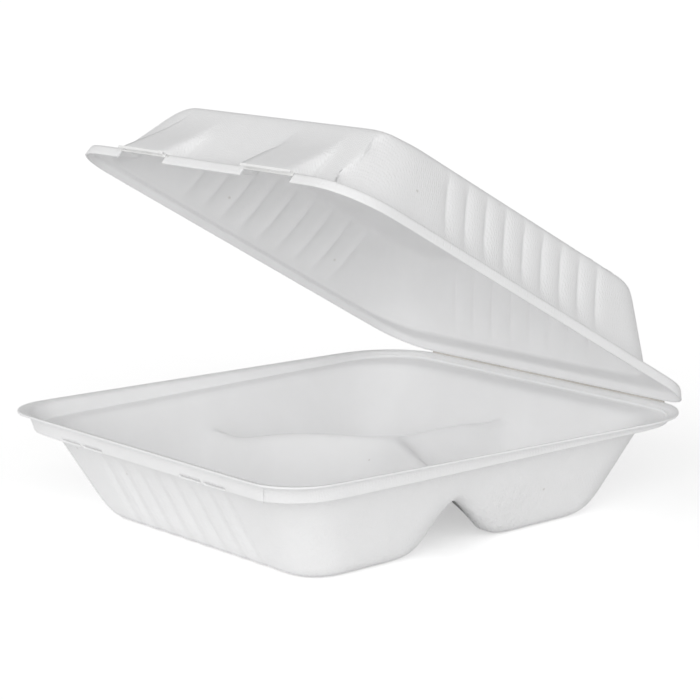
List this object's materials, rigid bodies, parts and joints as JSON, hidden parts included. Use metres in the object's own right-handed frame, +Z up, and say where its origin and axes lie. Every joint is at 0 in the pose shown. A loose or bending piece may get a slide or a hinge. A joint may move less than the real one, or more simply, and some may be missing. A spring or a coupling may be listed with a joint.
{
  "type": "hinged food box",
  "caption": "Square takeaway box of pressed white plant pulp: a tray with a Y-shaped divider and a domed lid with ribbed sides, joined along a creased hinge.",
  "frame": {"origin": "on the table, under the middle of the base's rim", "axes": "+X runs along the hinge, to the right seen from the lock side; +Y points from the lock side to the hinge; +Z is up"},
  "size_m": [0.208, 0.2126, 0.1683],
  "materials": {
    "pulp": "matt pressed plant fibre, off-white"
  },
  "bodies": {
    "base": {"base": "pulp"},
    "lid": {"lid": "pulp"}
  },
  "joints": [
    {"name": "lid_hinge", "type": "hinge", "parent": "base", "child": "lid", "pos_m": [0, 0.106, 0.03995], "axis": [-1, 0, 0], "range_deg": [-31, 148.2]}
  ]
}
